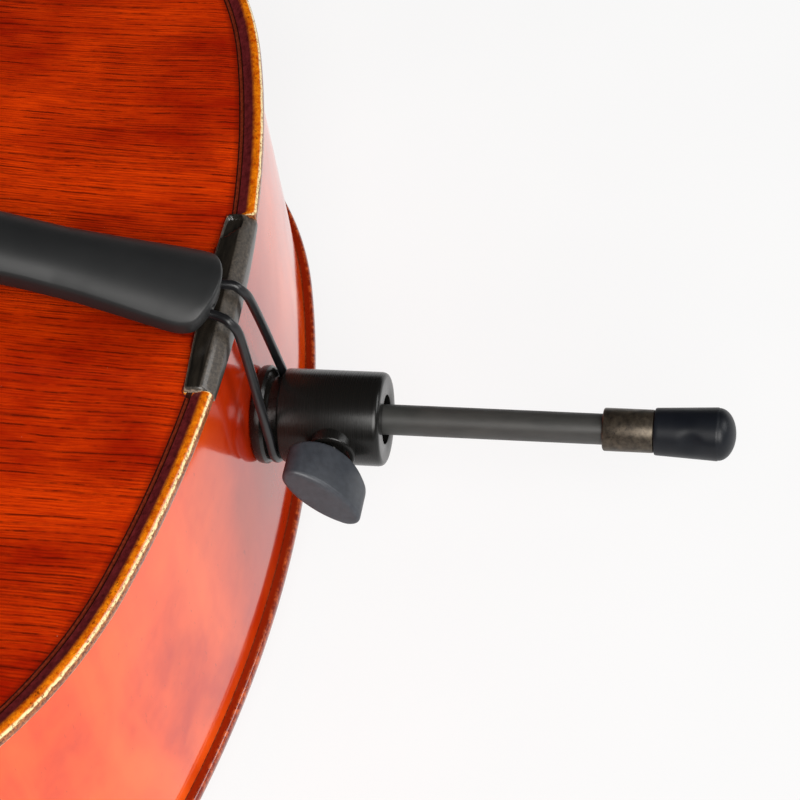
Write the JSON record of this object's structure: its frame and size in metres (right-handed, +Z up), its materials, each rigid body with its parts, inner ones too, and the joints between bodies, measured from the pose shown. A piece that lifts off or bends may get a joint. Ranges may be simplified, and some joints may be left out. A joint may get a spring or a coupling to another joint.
{
  "type": "cello",
  "caption": "Full-size cello with arched red-orange body, four strings, pegs and fine tuners, and an endpin that slides in a clamped socket.",
  "frame": {"origin": "bottom centre of the bounding box, with the cello lying on its back", "axes": "+Y from the endpin to the scroll, +X towards the treble side, +Z up out of the belly"},
  "size_m": [0.4428, 1.3766, 0.258],
  "materials": {
    "spruce_top": "orange-red varnish, gloss",
    "maple_red": "orange-red varnish, gloss",
    "maple_neck": "oiled and varnished",
    "pale_wood": "unvarnished",
    "bridge_maple": "bare maple",
    "purfling": "dark inlay",
    "ebony": "worn satin",
    "composite": "satin black composite",
    "cord": "black cord",
    "steel": "wound steel",
    "black_steel": "black oxide",
    "black_metal": "black, finely turned",
    "grey_plastic": "satin",
    "grey_rod": "matte dark grey",
    "antique_brass": "mottled antique",
    "brass": "plain",
    "rubber": "matte"
  },
  "bodies": {
    "body": {"back": "maple_red", "back_linings": "pale_wood", "back_purfling": "purfling", "bass_bar": "pale_wood", "belly": "spruce_top", "belly_linings": "pale_wood", "belly_purfling": "purfling", "bridge": "bridge_maple", "c_rib_bass": "maple_red", "c_rib_treble": "maple_red", "corner_blocks": "pale_wood", "endpin_plug": "ebony", "endpin_socket": "black_metal", "fingerboard": "ebony", "lower_block": "pale_wood", "lower_rib_bass": "maple_red", "lower_rib_treble": "maple_red", "neck_and_scroll": "maple_neck", "nut": "ebony", "saddle": "ebony", "screw_bush": "black_metal", "sound_post": "pale_wood", "string_a": "steel", "string_c": "steel", "string_d": "steel", "string_g": "steel", "tailgut": "cord", "tailpiece": "composite", "tuner_pins": "steel", "upper_block": "pale_wood", "upper_rib_bass": "maple_red", "upper_rib_treble": "maple_red"},
    "peg_c": {"peg_c": "ebony"},
    "tuner_lever_c": {"tuner_lever_c": "black_steel", "string_ball_c": "brass"},
    "tuner_screw_c": {"tuner_screw_c": "steel"},
    "tuner_knob_c": {"tuner_knob_c": "black_steel"},
    "peg_g": {"peg_g": "ebony"},
    "tuner_lever_g": {"tuner_lever_g": "black_steel", "string_ball_g": "brass"},
    "tuner_screw_g": {"tuner_screw_g": "steel"},
    "tuner_knob_g": {"tuner_knob_g": "black_steel"},
    "peg_d": {"peg_d": "ebony"},
    "tuner_lever_d": {"tuner_lever_d": "black_steel", "string_ball_d": "brass"},
    "tuner_screw_d": {"tuner_screw_d": "steel"},
    "tuner_knob_d": {"tuner_knob_d": "black_steel"},
    "peg_a": {"peg_a": "ebony"},
    "tuner_lever_a": {"tuner_lever_a": "black_steel", "string_ball_a": "brass"},
    "tuner_screw_a": {"tuner_screw_a": "steel"},
    "tuner_knob_a": {"tuner_knob_a": "black_steel"},
    "endpin": {"endpin_rod": "grey_rod", "endpin_stop": "brass", "endpin_ferrule": "antique_brass"},
    "rubber_tip": {"rubber_tip": "rubber"},
    "clamp_pad": {"clamp_pad": "brass"},
    "thumbscrew": {"thumbscrew_stud": "black_steel", "thumbscrew_knob": "grey_plastic"}
  },
  "joints": [
    {"name": "endpin_slide", "type": "slide", "parent": "body", "child": "endpin", "axis": [0, -1, 0], "range_m": [-0.07, 0.344]},
    {"name": "rubber_tip_pull", "type": "slide", "parent": "endpin", "child": "rubber_tip", "axis": [0, -1, 0], "range_m": [0, 0.03]},
    {"name": "clamp_pad_slide", "type": "slide", "parent": "body", "child": "clamp_pad", "axis": [-0.9925, 0, 0.1219], "range_m": [0, 0.0025]},
    {"name": "thumbscrew_turn", "type": "hinge", "parent": "clamp_pad", "child": "thumbscrew", "pos_m": [0, -0.55954, 0.085], "axis": [-0.9925, 0, 0.1219], "range_deg": [-1, 721]},
    {"name": "peg_c_turn", "type": "hinge", "parent": "body", "child": "peg_c", "pos_m": [0, 0.52378, 0.08977], "axis": [1, 0, 0], "range_deg": [-720, 720]},
    {"name": "peg_g_turn", "type": "hinge", "parent": "body", "child": "peg_g", "pos_m": [0, 0.57522, 0.07068], "axis": [1, 0, 0], "range_deg": [-720, 720]},
    {"name": "peg_d_turn", "type": "hinge", "parent": "body", "child": "peg_d", "pos_m": [0, 0.59808, 0.0622], "axis": [-1, 0, 0], "range_deg": [-720, 720]},
    {"name": "peg_a_turn", "type": "hinge", "parent": "body", "child": "peg_a", "pos_m": [0, 0.54664, 0.08128], "axis": [-1, 0, 0], "range_deg": [-720, 720]},
    {"name": "tuner_screw_c_travel", "type": "slide", "parent": "body", "child": "tuner_screw_c", "axis": [-0.0078, -0.247, 0.969], "range_m": [-0.0024, 0.0024]},
    {"name": "tuner_knob_c_turn", "type": "hinge", "parent": "tuner_screw_c", "child": "tuner_knob_c", "pos_m": [-0.02096, -0.3381, 0.20294], "axis": [-0.0078, -0.247, 0.969], "range_deg": [-1441, 1441]},
    {"name": "tuner_lever_c_tilt", "type": "hinge", "parent": "body", "child": "tuner_lever_c", "pos_m": [-0.01995, -0.30637, 0.20794], "axis": [0.9995, -0.0318, 0], "range_deg": [-4.4, 4.4]},
    {"name": "tuner_screw_g_travel", "type": "slide", "parent": "body", "child": "tuner_screw_g", "axis": [-0.0078, -0.247, 0.969], "range_m": [-0.0024, 0.0024]},
    {"name": "tuner_knob_g_turn", "type": "hinge", "parent": "tuner_screw_g", "child": "tuner_knob_g", "pos_m": [-0.00796, -0.33851, 0.20294], "axis": [-0.0078, -0.247, 0.969], "range_deg": [-1441, 1441]},
    {"name": "tuner_lever_g_tilt", "type": "hinge", "parent": "body", "child": "tuner_lever_g", "pos_m": [-0.00696, -0.30678, 0.20794], "axis": [0.9995, -0.0318, 0], "range_deg": [-4.4, 4.4]},
    {"name": "tuner_screw_d_travel", "type": "slide", "parent": "body", "child": "tuner_screw_d", "axis": [-0.0078, -0.247, 0.969], "range_m": [-0.0024, 0.0024]},
    {"name": "tuner_knob_d_turn", "type": "hinge", "parent": "tuner_screw_d", "child": "tuner_knob_d", "pos_m": [0.00503, -0.33892, 0.20294], "axis": [-0.0078, -0.247, 0.969], "range_deg": [-1441, 1441]},
    {"name": "tuner_lever_d_tilt", "type": "hinge", "parent": "body", "child": "tuner_lever_d", "pos_m": [0.00604, -0.30719, 0.20794], "axis": [0.9995, -0.0318, 0], "range_deg": [-4.4, 4.4]},
    {"name": "tuner_screw_a_travel", "type": "slide", "parent": "body", "child": "tuner_screw_a", "axis": [-0.0078, -0.247, 0.969], "range_m": [-0.0024, 0.0024]},
    {"name": "tuner_knob_a_turn", "type": "hinge", "parent": "tuner_screw_a", "child": "tuner_knob_a", "pos_m": [0.01802, -0.33934, 0.20294], "axis": [-0.0078, -0.247, 0.969], "range_deg": [-1441, 1441]},
    {"name": "tuner_lever_a_tilt", "type": "hinge", "parent": "body", "child": "tuner_lever_a", "pos_m": [0.01903, -0.30761, 0.20794], "axis": [0.9995, -0.0318, 0], "range_deg": [-4.4, 4.4]}
  ],
  "couplings": [
    {"joint": "thumbscrew_turn", "follows": "clamp_pad_slide", "rad_per_m": 5026.5},
    {"joint": "tuner_knob_c_turn", "follows": "tuner_screw_c_travel", "rad_per_m": 10472},
    {"joint": "tuner_lever_c_tilt", "follows": "tuner_screw_c_travel", "rad_per_m": -31.25},
    {"joint": "tuner_knob_g_turn", "follows": "tuner_screw_g_travel", "rad_per_m": 10472},
    {"joint": "tuner_lever_g_tilt", "follows": "tuner_screw_g_travel", "rad_per_m": -31.25},
    {"joint": "tuner_knob_d_turn", "follows": "tuner_screw_d_travel", "rad_per_m": 10472},
    {"joint": "tuner_lever_d_tilt", "follows": "tuner_screw_d_travel", "rad_per_m": -31.25},
    {"joint": "tuner_knob_a_turn", "follows": "tuner_screw_a_travel", "rad_per_m": 10472},
    {"joint": "tuner_lever_a_tilt", "follows": "tuner_screw_a_travel", "rad_per_m": -31.25}
  ]
}
